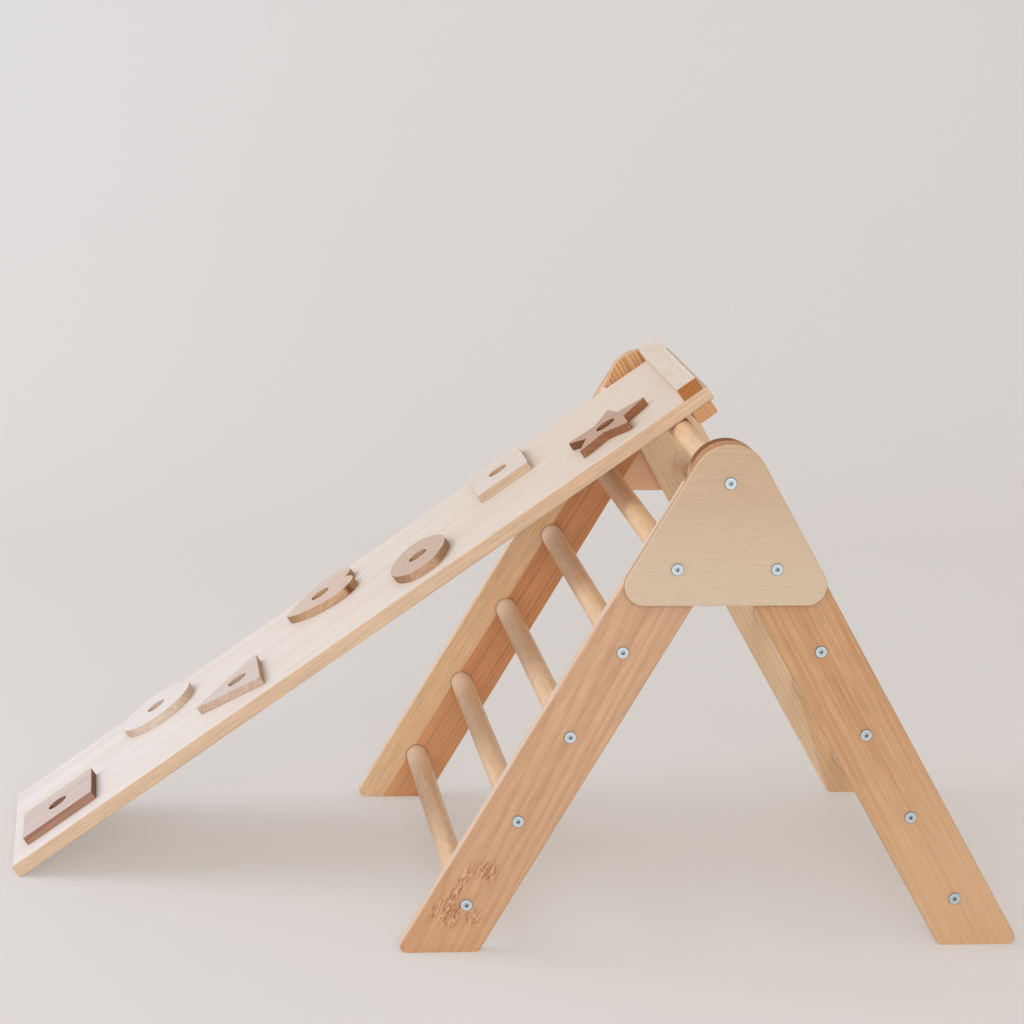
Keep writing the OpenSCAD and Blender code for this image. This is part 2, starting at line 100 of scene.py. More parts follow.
# %% [markdown]
# Colours are written as the eye knows them, in sRGB hex, and turned to linear light in one place.
# Blender's shaders count in linear light, so a hex value typed straight in would come out pale.

# %% Colour from hex
def tone(code):
    """sRGB hex to a linear RGBA colour."""
    parts = [int(code[i:i + 2], 16) / 255 for i in (1, 3, 5)]
    linear = [c / 12.92 if c <= 0.04045 else ((c + 0.055) / 1.055) ** 2.4 for c in parts]
    return (*linear, 1.0)


def grey(value):
    """A grey of the given linear value."""
    return (value, value, value, 1.0)


# the palest tone of the painted highlight on the ramp's upper face
print("ramp highlight", [round(c, 3) for c in tone("#e8e5e5")])

# %% [markdown]
# Every material is a small graph. One helper adds a node, sets it and plugs its inputs, so that a
# recipe below reads from top to bottom like a list of steps at the bench.

# %% One helper for nodes
def add(tree, kind, inputs=None, stops=None, **settings):
    """Adds a node; inputs are values or sockets by name or number, stops are (place, colour)."""
    node = tree.nodes.new(kind)
    for key, value in settings.items():
        setattr(node, key, value)
    if stops:
        ramp = node.color_ramp.elements
        while len(ramp) < len(stops):
            ramp.new(0.5)
        for element, (place, colour) in zip(ramp, stops):
            element.position = place
            element.color = colour
    for key, value in (inputs or {}).items():
        if isinstance(value, bpy.types.NodeSocket):
            tree.links.new(value, node.inputs[key])
        else:
            node.inputs[key].default_value = value
    return node


# %% [markdown]
# Each recipe starts from a blank material and reads Object coordinates, which stay with the piece
# when it moves or is exported.

# %% A blank material
def blank(name):
    """A new material: itself, its tree, its shader and its texture coordinates."""
    made = bpy.data.materials.new(name)
    made.use_nodes = True
    tree = made.node_tree
    return made, tree, tree.nodes["Principled BSDF"], add(tree, "ShaderNodeTexCoord")


# %% [markdown]
# Timber is a solid pattern, not a picture: a board is a slice through a tree, so its faces, edges
# and ends have to agree. The first step gives a board its own axes in millimetres, X along the
# grain, and bends them a little, because no trunk grows straight. Everything in wood is drawn out
# along the grain, so the axes are squeezed before a noise is taken: 0.0016 turns per millimetre
# along the board make bends about 600 mm long.

# %% A board's own axes
WANDER = 10.0  # mm between the furthest strays of the grain to either side


def lay_board(name, turn, centre):
    """A material whose axes lie along a board. turn: Euler of the grain; centre: metres."""
    made, tree, shader, place = blank(name)
    board = add(tree, "ShaderNodeMapping", {"Vector": place.outputs["Object"], "Location": centre,
                "Rotation": turn, "Scale": (MM, MM, MM)}, vector_type="TEXTURE")
    # slow bends of the trunk, about 80 mm across the board and 600 mm along it
    slow = add(tree, "ShaderNodeVectorMath", {0: board.outputs[0], 1: (0.0016, 0.012, 0.012)},
               operation="MULTIPLY")
    bend = add(tree, "ShaderNodeTexNoise", {"Vector": slow.outputs[0], "Scale": 1.0,
               "Detail": 2.0, "Roughness": 0.45})
    shift = add(tree, "ShaderNodeVectorMath", {0: bend.outputs["Color"], 1: (0.5, 0.5, 0.5)},
                operation="SUBTRACT")
    push = add(tree, "ShaderNodeVectorMath", {0: shift.outputs[0], 1: (WANDER,) * 3,
               2: board.outputs[0]}, operation="MULTIPLY_ADD")
    along = add(tree, "ShaderNodeSeparateXYZ", {0: board.outputs[0]})
    return SimpleNamespace(made=made, tree=tree, shader=shader, place=place, turn=turn,
                           board=board.outputs[0], bend=bend.outputs["Fac"],
                           bent=push.outputs[0], along=along, torn=None, side=None)


# %% [markdown]
# Near a knot the planer tears the fibres, and they swirl within a few centimetres. Each torn patch
# is an ellipsoid in the wood. Inside it the bent axes are dragged about by another noise, so the
# rings and fibres that are drawn later swirl there too.

# %% Knots
DRAG = 14.0  # mm that fibres are pulled aside in the middle of a torn patch


def tie_knots(wood, knots):
    """knots: pairs of a place and three half sizes, in board millimetres."""
    tree = wood.tree
    for spot, size in knots:
        away = add(tree, "ShaderNodeVectorMath", {0: wood.board, 1: spot}, operation="SUBTRACT")
        squash = add(tree, "ShaderNodeVectorMath", {0: away.outputs[0],
                     1: tuple(1 / s for s in size)}, operation="MULTIPLY")
        far = add(tree, "ShaderNodeVectorMath", {0: squash.outputs[0]}, operation="LENGTH")
        near = add(tree, "ShaderNodeMapRange", {"Value": far.outputs["Value"], "From Min": 1.0,
                   "From Max": 0.25}, interpolation_type="SMOOTHSTEP")
        patch = near.outputs["Result"]
        wood.torn = patch if wood.torn is None else add(
            tree, "ShaderNodeMath", {0: wood.torn, 1: patch}, operation="MAXIMUM").outputs[0]
    if wood.torn is None:
        return
    # swirls about 22 mm across
    curl = add(tree, "ShaderNodeTexNoise", {"Vector": wood.board, "Scale": 0.045, "Detail": 2.0,
               "Roughness": 0.5})
    swirl = add(tree, "ShaderNodeVectorMath", {0: curl.outputs["Color"], 1: (0.5, 0.5, 0.5)},
                operation="SUBTRACT")
    pull = add(tree, "ShaderNodeMath", {0: wood.torn, 1: DRAG}, operation="MULTIPLY")
    drag = add(tree, "ShaderNodeVectorMath", {0: swirl.outputs[0], "Scale": pull.outputs[0]},
               operation="SCALE")
    wood.bent = add(tree, "ShaderNodeVectorMath", {0: wood.bent, 1: drag.outputs[0]},
                    operation="ADD").outputs[0]


# %% [markdown]
# Growth rings are wavy cylinders round the heart of the tree. With the heart placed to one side of
# the board, the faces show straight or arched lines and the ends show arcs. A little taper along
# the trunk makes the arches. Each ring is pale early wood that darkens to late wood and stops.

# %% Growth rings
def grow_rings(wood, heart, ring, arch):
    """heart: mm across and through from the board's middle; ring: mm; arch: taper per mm."""
    tree = wood.tree
    off = add(tree, "ShaderNodeVectorMath", {0: wood.bent, 1: (0.0, *heart)},
              operation="SUBTRACT")
    across = add(tree, "ShaderNodeVectorMath", {0: off.outputs[0], 1: (0.0, 1.0, 1.0)},
                 operation="MULTIPLY")
    reach = add(tree, "ShaderNodeVectorMath", {0: across.outputs[0]}, operation="LENGTH")
    taper = add(tree, "ShaderNodeMath", {0: wood.along.outputs["X"], 1: arch,
                2: reach.outputs["Value"]}, operation="MULTIPLY_ADD")
    # good and poor summers: the rings are not all as wide
    years = add(tree, "ShaderNodeTexNoise", {"W": taper.outputs[0], "Scale": 0.35 / ring,
                "Detail": 1.0}, noise_dimensions="1D")
    uneven = add(tree, "ShaderNodeMath", {0: years.outputs["Fac"], 1: ring * 1.6,
                 2: taper.outputs[0]}, operation="MULTIPLY_ADD")
    count = add(tree, "ShaderNodeMath", {0: uneven.outputs[0], 1: 1 / ring}, operation="MULTIPLY")
    year = add(tree, "ShaderNodeMath", {0: count.outputs[0]}, operation="FRACT")
    wood.rings = add(tree, "ShaderNodeValToRGB", {"Fac": year.outputs[0]}, stops=[
        (0.0, grey(0.1)), (0.35, grey(0.0)), (0.72, grey(0.55)), (0.9, grey(1.0)),
        (1.0, grey(0.15))]).outputs["Color"]


# %% [markdown]
# Over the rings lie two finer patterns: fibres, which give the planed face its silky lines, and
# soft bands where the tone of the wood drifts.

# %% Fibres and bands
def comb_fibres(wood):
    """Gives a board its fibres and its bands, as two noises between 0 and 1."""
    tree = wood.tree
    # fibres about 1.5 mm wide and 60 mm long, drawn a little coarser than real ones so they show
    thread = add(tree, "ShaderNodeVectorMath", {0: wood.bent, 1: (0.016, 0.65, 0.65)},
                 operation="MULTIPLY")
    wood.fibres = add(tree, "ShaderNodeTexNoise", {"Vector": thread.outputs[0], "Scale": 1.0,
                      "Detail": 4.0, "Roughness": 0.6}).outputs["Fac"]
    # soft bands about 20 mm wide that run the whole length
    broad = add(tree, "ShaderNodeVectorMath", {0: wood.bent, 1: (0.002, 0.05, 0.05)},
                operation="MULTIPLY")
    wood.cloud = add(tree, "ShaderNodeTexNoise", {"Vector": broad.outputs[0], "Scale": 1.0,
                     "Detail": 2.0}).outputs["Fac"]


# %% [markdown]
# Many boards are cut across the border between red heartwood and pale sapwood, which shows as a
# strip of another tone with calmer rings. The border sways with the trunk, and it slants where
# the board was sawn a little across the grain.

# %% Heartwood and sapwood
SWAY = 26.0  # mm between the border's furthest swings


def lay_strip(wood, edge, soft, code, slant):
    """edge: mm through the board's local Z; soft: mm of blur; slant: mm of drift per mm."""
    tree = wood.tree
    slide = add(tree, "ShaderNodeMath", {0: wood.along.outputs["X"], 1: slant,
                2: wood.along.outputs["Z"]}, operation="MULTIPLY_ADD")
    sway = add(tree, "ShaderNodeMath", {0: wood.bend, 1: SWAY, 2: slide.outputs[0]},
               operation="MULTIPLY_ADD")
    wood.side = add(tree, "ShaderNodeMapRange", {"Value": sway.outputs[0],
                    "From Min": edge - soft + SWAY / 2, "From Max": edge + soft + SWAY / 2},
                    interpolation_type="SMOOTHSTEP").outputs["Result"]
    wood.colour = add(tree, "ShaderNodeMix", {0: wood.side, 6: wood.colour, 7: tone(code)},
                      data_type="RGBA").outputs[2]


# %% [markdown]
# The sawn colour is early wood that drifts between two tones, darkened in the late wood of each
# ring. Fibres and a faint mottling then lighten and darken it by a few per cent.

# %% The colour of sawn wood
def sawn_colour(wood, tones, late, fibre, mottle, strip):
    """tones: early, late and drift; late, fibre, mottle: how strongly each shows."""
    tree = wood.tree
    early, wood.dark, drift = (tone(code) for code in tones)
    patchy = add(tree, "ShaderNodeMapRange", {"Value": wood.cloud, "From Min": 0.35,
                 "From Max": 0.65, "To Max": 0.85})
    wood.colour = add(tree, "ShaderNodeMix", {0: patchy.outputs["Result"], 6: early, 7: drift},
                      data_type="RGBA").outputs[2]
    if strip is not None:
        lay_strip(wood, *strip)
    strong = add(tree, "ShaderNodeMath", {0: wood.rings, 1: late}, operation="MULTIPLY")
    if strip is not None:
        calm = add(tree, "ShaderNodeMapRange", {"Value": wood.side, "To Min": 1.0,
                   "To Max": 0.25})
        strong = add(tree, "ShaderNodeMath", {0: strong.outputs[0], 1: calm.outputs["Result"]},
                     operation="MULTIPLY")
    ringed = add(tree, "ShaderNodeMix", {0: strong.outputs[0], 6: wood.colour, 7: wood.dark},
                 data_type="RGBA")
    shade = add(tree, "ShaderNodeMapRange", {"Value": wood.fibres, "From Min": 0.3,
                "From Max": 0.7, "To Min": 1 - fibre * 0.45, "To Max": 1 + fibre * 0.25})
    # mottling: faint patches about 8 mm wide and 30 mm long
    blotch = add(tree, "ShaderNodeVectorMath", {0: wood.board, 1: (0.03, 0.12, 0.12)},
                 operation="MULTIPLY")
    spots = add(tree, "ShaderNodeTexNoise", {"Vector": blotch.outputs[0], "Scale": 1.0,
                "Detail": 3.0, "Roughness": 0.6})
    dim = add(tree, "ShaderNodeMapRange", {"Value": spots.outputs["Fac"], "From Min": 0.35,
              "From Max": 0.65, "To Min": 1 - mottle, "To Max": 1 + mottle * 0.6})
    both = add(tree, "ShaderNodeMath", {0: shade.outputs["Result"], 1: dim.outputs["Result"]},
               operation="MULTIPLY")
    wood.colour = add(tree, "ShaderNodeVectorMath", {0: ringed.outputs[2],
                      "Scale": both.outputs[0]}, operation="SCALE").outputs[0]


# %% [markdown]
# One board is rarely one tone from end to end: the wood changes on its way down the trunk. The
# next step mixes another tone in toward one end, except in a strip of other wood; on the far right
# rail it paints light instead, a paler tone below the head where the ramp throws its shade. Flecks
# are the rays of a hardwood, or pores in a softwood: short darker dashes that all lie along the
# grain.

# %% Drift along a board, and flecks
def tone_end(wood, start, finish, code, share):
    """Mixes a tone in from start to finish, mm along the board, up to a share."""
    tree = wood.tree
    lower = add(tree, "ShaderNodeMapRange", {"Value": wood.along.outputs["X"], "From Min": start,
                "From Max": finish, "To Max": share}, interpolation_type="SMOOTHSTEP")
    mixed = lower.outputs["Result"]
    if wood.side is not None:
        rest = add(tree, "ShaderNodeMath", {0: 1.0, 1: wood.side}, operation="SUBTRACT")
        mixed = add(tree, "ShaderNodeMath", {0: mixed, 1: rest.outputs[0]},
                    operation="MULTIPLY").outputs[0]
    wood.colour = add(tree, "ShaderNodeMix", {0: mixed, 6: wood.colour, 7: tone(code)},
                      data_type="RGBA").outputs[2]


def add_flecks(wood, share):
    """Dashes about 1 mm wide and 5 mm long, in the tone of the late wood."""
    tree = wood.tree
    dash = add(tree, "ShaderNodeVectorMath", {0: wood.bent, 1: (0.12, 0.7, 0.7)},
               operation="MULTIPLY")
    cells = add(tree, "ShaderNodeTexVoronoi", {"Vector": dash.outputs[0], "Scale": 1.0,
                "Randomness": 1.0})
    mark = add(tree, "ShaderNodeMapRange", {"Value": cells.outputs["Distance"],
               "From Min": 0.22, "From Max": 0.08, "To Max": share})
    wood.colour = add(tree, "ShaderNodeMix", {0: mark.outputs["Result"], 6: wood.colour,
                      7: wood.dark}, data_type="RGBA").outputs[2]


# %% [markdown]
# Torn fibres hold more oil, so a patch round a knot is stained. Where they stand up they catch the
# light: the patch is painted with a hatching of dark strokes and pale ones, which are a painted
# highlight.

# %% The look of a knot
# the pale stroke colour is a painted highlight, where torn fibres catch the light
TORN_DARK, TORN_HIGHLIGHT = "#96501f", "#e2b68c"


def show_knots(wood, share, code, gleam):
    """share, code: the stain of a torn patch; gleam: how strongly its pale strokes, a painted
    highlight, show.
    """
    tree = wood.tree
    # strokes about 1.5 mm wide and 14 mm long
    tangle = add(tree, "ShaderNodeVectorMath", {0: wood.bent, 1: (0.06, 0.62, 0.62)},
                 operation="MULTIPLY")
    torn = add(tree, "ShaderNodeTexNoise", {"Vector": tangle.outputs[0], "Scale": 1.0,
               "Detail": 1.0, "Roughness": 0.5, "Distortion": 0.35}).outputs["Fac"]
    line = add(tree, "ShaderNodeMapRange", {"Value": torn, "From Min": 0.49, "From Max": 0.41,
               "To Max": 0.85})
    light = add(tree, "ShaderNodeMapRange", {"Value": torn, "From Min": 0.53, "From Max": 0.62,
                "To Max": gleam})
    stained = add(tree, "ShaderNodeMath", {0: wood.torn, 1: share}, operation="MULTIPLY")
    wood.colour = add(tree, "ShaderNodeMix", {0: stained.outputs[0], 6: wood.colour,
                      7: tone(code)}, data_type="RGBA").outputs[2]
    for stroke, ink in ((line, TORN_DARK), (light, TORN_HIGHLIGHT)):
        inked = add(tree, "ShaderNodeMath", {0: stroke.outputs[0], 1: wood.torn},
                    operation="MULTIPLY")
        wood.colour = add(tree, "ShaderNodeMix", {0: inked.outputs[0], 6: wood.colour,
                          7: tone(ink)}, data_type="RGBA").outputs[2]


# %% [markdown]
# Cut ends drink more oil: they come out darker, the rings stand out more, and they don't shine.
# A face belongs to an end when its normal points along the grain.

# %% Cut ends
def cut_ends(wood, code, late):
    """code: the tone of the sawn ends; late: how strongly the rings show on them."""
    tree = wood.tree
    grain = Euler(wood.turn).to_matrix() @ Vector((1, 0, 0))
    facing = add(tree, "ShaderNodeVectorMath", {0: wood.place.outputs["Normal"], 1: grain},
                 operation="DOT_PRODUCT")
    square_on = add(tree, "ShaderNodeMath", {0: facing.outputs["Value"]}, operation="ABSOLUTE")
    wood.cut = add(tree, "ShaderNodeMapRange", {"Value": square_on.outputs[0], "From Min": 0.6,
                   "From Max": 0.85}, interpolation_type="SMOOTHSTEP").outputs["Result"]
    soaked = add(tree, "ShaderNodeMapRange", {"Value": wood.rings, "To Min": 1.1,
                 "To Max": 1.1 - min(0.9 * late, 0.42)})
    dull = add(tree, "ShaderNodeVectorMath", {0: tone(code)[:3],
               "Scale": soaked.outputs["Result"]}, operation="SCALE")
    wood.colour = add(tree, "ShaderNodeMix", {0: wood.cut, 6: wood.colour, 7: dull.outputs[0]},
                      data_type="RGBA").outputs[2]


# %% [markdown]
# Where a rung enters a rail a thin dark line is painted: a painted shadow in the joint. The rungs
# are evenly spaced, so one ring, wrapped every 125 mm along the rail, marks them all. It is drawn
# on the inner face alone.

# %% Painted shadow round the rungs
RAIL_MIDDLE = 300.0  # mm from the apex down to the middle of a rail's pattern
SEAT_DARK, SEAT_PALE = 15.4, 17.2  # mm from a rung's axis, where the line is full and gone


def paint_seat_shadows(wood, toward, inner):
    """toward: 1 where local X runs down the rail, else -1; inner: the inner face's side in Y."""
    tree = wood.tree
    start = add(tree, "ShaderNodeMath", {0: wood.along.outputs["X"], 1: toward * RAIL_MIDDLE},
                operation="ADD")
    step = add(tree, "ShaderNodeMath", {0: start.outputs[0], 1: RUNG_PITCH / 2,
               2: -RUNG_PITCH / 2}, operation="WRAP")
    around = add(tree, "ShaderNodeCombineXYZ", {0: step.outputs[0], 1: wood.along.outputs["Z"]})
    radius = add(tree, "ShaderNodeVectorMath", {0: around.outputs[0]}, operation="LENGTH")
    seat = add(tree, "ShaderNodeMapRange", {"Value": radius.outputs["Value"],
               "From Min": SEAT_PALE, "From Max": SEAT_DARK, "To Max": 0.55})
    inside = add(tree, "ShaderNodeVectorMath", {0: wood.place.outputs["Normal"],
                 1: (0, inner, 0)}, operation="DOT_PRODUCT")
    lit = add(tree, "ShaderNodeMath", {0: inside.outputs["Value"], 1: 0.7},
              operation="GREATER_THAN")
    shown = add(tree, "ShaderNodeMath", {0: seat.outputs["Result"], 1: lit.outputs[0]},
                operation="MULTIPLY")
    # the dark line is a painted shadow where the rung enters the rail
    wood.colour = add(tree, "ShaderNodeMix", {0: shown.outputs[0], 6: wood.colour,
                      7: tone("#6b472f")}, data_type="RGBA").outputs[2]


# %% [markdown]
# A painted highlight pales the faces that look one way, toward the light, and leaves the other
# sides as they are. It is laid wherever the surface faces that way, thinner on the hard fibres and
# in the dark bands, and its tone may differ from one end of the board to the other.

# %% Painted highlight on one side
# how far the painted highlight runs from a board's middle before it has its end tone
HIGHLIGHT_REACH = 450.0  # mm from the middle of a board to where the wash has its end tone


def paint_highlight(wood, facing, share, low_code, high_code):
    """facing: the direction of the side with the painted highlight; share: how strongly it shows;
    then its two end tones.
    """
    tree = wood.tree
    faced = add(tree, "ShaderNodeVectorMath", {0: wood.place.outputs["Normal"], 1: facing},
                operation="DOT_PRODUCT")
    toward_light = add(tree, "ShaderNodeMapRange", {"Value": faced.outputs["Value"], "From Min": 0.78,
                 "From Max": 0.94, "To Max": share}, interpolation_type="SMOOTHSTEP")
    fibre_break = add(tree, "ShaderNodeMapRange", {"Value": wood.fibres, "From Min": 0.3,
               "From Max": 0.7, "To Min": 0.8, "To Max": 1.06})
    bands = add(tree, "ShaderNodeMapRange", {"Value": wood.cloud, "From Min": 0.35,
                "From Max": 0.65, "To Min": 1.08, "To Max": 0.86})
    evenly = add(tree, "ShaderNodeMath", {0: fibre_break.outputs["Result"], 1: bands.outputs["Result"]},
                 operation="MULTIPLY")
    highlight_share = add(tree, "ShaderNodeMath", {0: toward_light.outputs["Result"], 1: evenly.outputs[0]},
                  operation="MULTIPLY", use_clamp=True)
    # the painted highlight's tone shifts from one end of the board to the other
    oil = add(tree, "ShaderNodeMapRange", {"Value": wood.along.outputs["X"],
              "From Min": -HIGHLIGHT_REACH, "From Max": HIGHLIGHT_REACH})
    tint = add(tree, "ShaderNodeMix", {0: oil.outputs["Result"], 6: tone(low_code),
               7: tone(high_code)}, data_type="RGBA")
    wood.colour = add(tree, "ShaderNodeMix", {0: highlight_share.outputs[0], 6: wood.colour,
                      7: tint.outputs[2]}, data_type="RGBA").outputs[2]


# %% [markdown]
# The finish is a clear satin oil: a soft shine that the fibres break up, a thin coat on some
# boards, and a relief of a quarter of a millimetre that a fingertip would feel.

# %% Satin finish
def satin(wood, rough, coat):
    """rough: roughness of the planed faces; coat: weight of the clear coat."""
    tree, shader = wood.tree, wood.shader
    tree.links.new(wood.colour, shader.inputs["Base Color"])
    sheen = add(tree, "ShaderNodeMapRange", {"Value": wood.fibres, "To Min": rough - 0.06,
                "To Max": rough + 0.1})
    # sawn ends are rough and do not shine
    matt = add(tree, "ShaderNodeMix", {0: wood.cut, 2: sheen.outputs["Result"], 3: 0.95})
    tree.links.new(matt.outputs[0], shader.inputs["Roughness"])
    shader.inputs["IOR"].default_value = 1.46
    shader.inputs["Coat Weight"].default_value = coat
    shader.inputs["Coat Roughness"].default_value = 0.22
    relief = add(tree, "ShaderNodeBump", {"Height": wood.fibres, "Strength": 0.25,
                 "Distance": 0.25 * MM})
    tree.links.new(relief.outputs[0], shader.inputs["Normal"])


# %% [markdown]
# The steps together make one recipe, and each board below is a call of it with its own heart,
# ring width and tones, as each real board comes from another tree.

# %% Timber
def timber(name, turn, centre, heart, ring, tones, late=0.5, arch=0.012, fibre=0.35, mottle=0.05,
           strip=None, foot=None, fleck=0.0, knots=(), stain=(0.35, "#b07a51", 0.7),
           end="#b98a5e", seat_shadows=None, highlight=None, rough=0.5, coat=0.0):
    """Sawn, planed and oiled wood as a solid pattern; the steps above say what each value is."""
    wood = lay_board(name, turn, centre)
    tie_knots(wood, knots)
    grow_rings(wood, heart, ring, arch)
    comb_fibres(wood)
    sawn_colour(wood, tones, late, fibre, mottle, strip)
    if foot is not None:
        tone_end(wood, *foot)
    if fleck:
        add_flecks(wood, fleck)
    if wood.torn is not None:
        show_knots(wood, *stain)
    cut_ends(wood, end, late)
    if seat_shadows is not None:
        paint_seat_shadows(wood, *seat_shadows)
    # a painted highlight on the faces that look toward the light
    if highlight is not None:
        paint_highlight(wood, *highlight)
    satin(wood, rough, coat)
    return wood.made


def dress(node, material):
    """Gives a finished solid its material; its mesh stays as it is."""
    for slot in nodes[node].material_slots:
        slot.material = material


# %% [markdown]
# The four rails are planed pine under a clear satin oil. The two near ones show their outer faces,
# warm and evenly striped, and the left one has a torn patch at its foot. The far left one keeps a
# strip of pale sapwood beside its red heartwood. The far right one is sawn so that its rings show
# as plain stripes, with a wedge of other wood toward its foot.

# %% Rails
RAIL_SIDE = 0.339  # m from the middle of the object to about the middle of a rail's thickness
LEFT_EDGE = (-math.sin(RAIL_TURN), 0, math.cos(RAIL_TURN))
# the upper left edges of the left rails get a painted highlight: the light and sheen they catch
# from the upper left
edge_highlight = (LEFT_EDGE, 0.7, "#ead3c0", "#ead3c0")
left_turn, right_turn = (0, -RAIL_TURN, 0), (0, RAIL_TURN, 0)


def rail_centre(side, y):
    """A point on a rail's centre line; side is +1 on the right and -1 on the left."""
    down = Vector((side * math.cos(RAIL_TURN), 0, -math.sin(RAIL_TURN)))
    return tuple(Vector((apex.x, y, apex.z)) + RAIL_MIDDLE * MM * down)


left_near_knots = [((-276, -9, 1), (20, 60, 24)), ((-312, -9, 20), (54, 60, 10)),
                   ((-344, -9, 12), (28, 60, 22)), ((-334, -9, -16), (16, 60, 14)),
                   ((-349, -9, 31), (28, 60, 8))]
rails = {
    "left_rail_near": timber(
        "oiled_pine_left_near", left_turn, rail_centre(-1, -RAIL_SIDE), (-150, 60), 6.0,
        ("#d0a681", "#b07a51", "#c59a75"), late=0.36, arch=0.035, foot=(-140, -430, "#cd8f55", 0.3),
        knots=left_near_knots, seat_shadows=(-1, 1), highlight=edge_highlight, coat=0.5),
    "right_rail_near": timber(
        "oiled_pine_right_near", right_turn, rail_centre(1, -RAIL_SIDE), (-120, -75), 3.9,
        ("#cc9f73", "#a87045", "#c39468"), late=0.36, foot=(0, 330, "#debb95", 0.45),
        end="#86552e", seat_shadows=(1, 1), coat=0.05),
    "left_rail_far": timber(
        "oiled_pine_left_far", left_turn, rail_centre(-1, RAIL_SIDE), (70, -130), 3.6,
        ("#e29d5f", "#955429", "#d28a4b"), fibre=0.4, strip=(8, 2, "#f0c99b", 0.0),
        foot=(-60, -330, "#f2bd8c", 0.3), fleck=0.4, seat_shadows=(-1, -1), highlight=edge_highlight, coat=0.7),
    # its head keeps the darker tones and the rail below is painted paler: painted light that makes
    # up for the shade the ramp throws on it
    "right_rail_far": timber(
        "oiled_pine_right_far", right_turn, rail_centre(1, RAIL_SIDE), (70, 90), 5.2,
        ("#eab988", "#b0703a", "#d9a36c"), late=0.85, strip=(29, 2, "#eec79c", 0.2),
        foot=(-262, -215, "#ffecca", 0.6), end="#dbb68e", coat=0.2),
}
for node, material in rails.items():
    dress(node, material)
print("rails dressed", sorted(rails))

# %% [markdown]
# The rungs are turned beech rod: pale, even, with short ray flecks and hardly any rings. They all
# run across the object, so one slice of grain serves them all, and each rung cuts its own part
# of it.

# %% Rungs
across_turn = (0, 0, math.pi / 2)
beech = timber("turned_beech", across_turn, tuple(apex), (90, 40), 6.0,
               ("#f0cca2", "#bf8a5e", "#e6bd92"), late=0.15, fibre=0.18, mottle=0.08,
               foot=(190, 320, "#f8e8d8", 0.5), fleck=0.35, end="#c9a47e", rough=0.48, coat=0.2)
rungs = [name for name in nodes if "_rung" in name and "inserts" not in name]
for node in rungs:
    dress(node, beech)
print("rungs dressed", len(rungs))

# %% [markdown]
# The ramp is a board of pale spruce. Its upper face gets a near-white painted highlight, for the
# light and sheen it catches from above, while its sawn long sides stay honey yellow. The upper
# cleat's top gets the same painted highlight, and its sawn ends come out a strong brown.

# %% Ramp board and cleats
ramp_lie = (0, -ramp_turn, 0)
up_ramp = tuple(Euler(ramp_lie).to_matrix() @ Vector((0, 0, 1)))
ramp_woods = {
    # each board's upper face gets a painted highlight, paler at the ramp's low end
    "ramp_board": timber(
        "spruce_painted_highlight", ramp_lie, tuple(middle("ramp_board")), (40, 220), 4.5,
        ("#dfc4a5", "#cba582", "#d8b899"), late=0.4, arch=0.01, end="#cfaa7e",
        highlight=(up_ramp, 0.8, "#e8e5e5", "#e3d8cb"), rough=0.55, coat=0.1),
    "top_cleat": timber(
        "batten_painted_highlight", across_turn, tuple(middle("top_cleat")), (34, 30), 4.2,
        ("#e0d0bd", "#cfb497", "#d9c6b1"), end="#b3753f",
        highlight=(up_ramp, 0.6, "#e2d6c9", "#e2d6c9")),
    "hook_cleat": timber(
        "oiled_batten", across_turn, tuple(middle("hook_cleat")), (-70, 65), 6.0,
        ("#dcb78c", "#b98650", "#d4aa7a"), late=0.22, end="#cb9c70"),
}
for node, material in ramp_woods.items():
    dress(node, material)
print("ramp dressed", sorted(ramp_woods))

# %% [markdown]
# Zinc plate on steel is bluish white, bright but not a mirror. A fine grain in its roughness and
# relief keeps it from looking like chrome. The threaded inserts are brass and sit inside the
# rungs.

# %% Metal
GRAIN_PER_METRE = 1200.0  # a plating grain of about 0.8 mm, coarser than real so that it shows


def metal(name, code, rough, depth):
    """code: its colour face on; depth: metres of relief."""
    made, tree, shader, place = blank(name)
    grain = add(tree, "ShaderNodeTexNoise", {"Vector": place.outputs["Object"],
                "Scale": GRAIN_PER_METRE, "Detail": 3.0})
    spread = add(tree, "ShaderNodeMapRange", {"Value": grain.outputs["Fac"], "To Min": rough - 0.08,
                 "To Max": rough + 0.12})
    shine = add(tree, "ShaderNodeMapRange", {"Value": grain.outputs["Fac"], "To Min": 0.9,
                "To Max": 1.06})
    tint = add(tree, "ShaderNodeVectorMath", {0: tone(code)[:3], "Scale": shine.outputs["Result"]},
               operation="SCALE")
    bump = add(tree, "ShaderNodeBump", {"Height": grain.outputs["Fac"], "Strength": 0.3,
               "Distance": depth})
    tree.links.new(tint.outputs[0], shader.inputs["Base Color"])
    tree.links.new(spread.outputs["Result"], shader.inputs["Roughness"])
    tree.links.new(bump.outputs[0], shader.inputs["Normal"])
    shader.inputs["Metallic"].default_value = 1.0
    return made


# %% [markdown]
# A bolt head gets painted rings: a grey socket, painted for its oxide and for the shade in it, a
# pale collar, a grey groove at 4 mm whose shade is painted, a pale face, and a dark rim that is the
# painted shadow round the head. The bolts follow the rungs' spacing down each rail, so the rings
# are wrapped along the rail as the painted shadows round the rungs were.

# %% Painted shade rings in the bolt heads
HEAD_RADIUS = 8.0  # mm
# painted shade: grey in the socket for its oxide and its shade, grey in the groove at 4 mm, dark at
# the rim where the head's shadow falls
HEAD_SHADING = [(0.0, "#d4dce1"), (0.1, "#c4ccd2"), (0.2, "#7c848a"), (0.29, "#646c72"),
              (0.34, "#dfe8ec"), (0.46, "#d5dee3"), (0.53, "#aab4ba"), (0.6, "#dce6ea"),
              (0.86, "#d3dde2"), (0.94, "#757d82")]


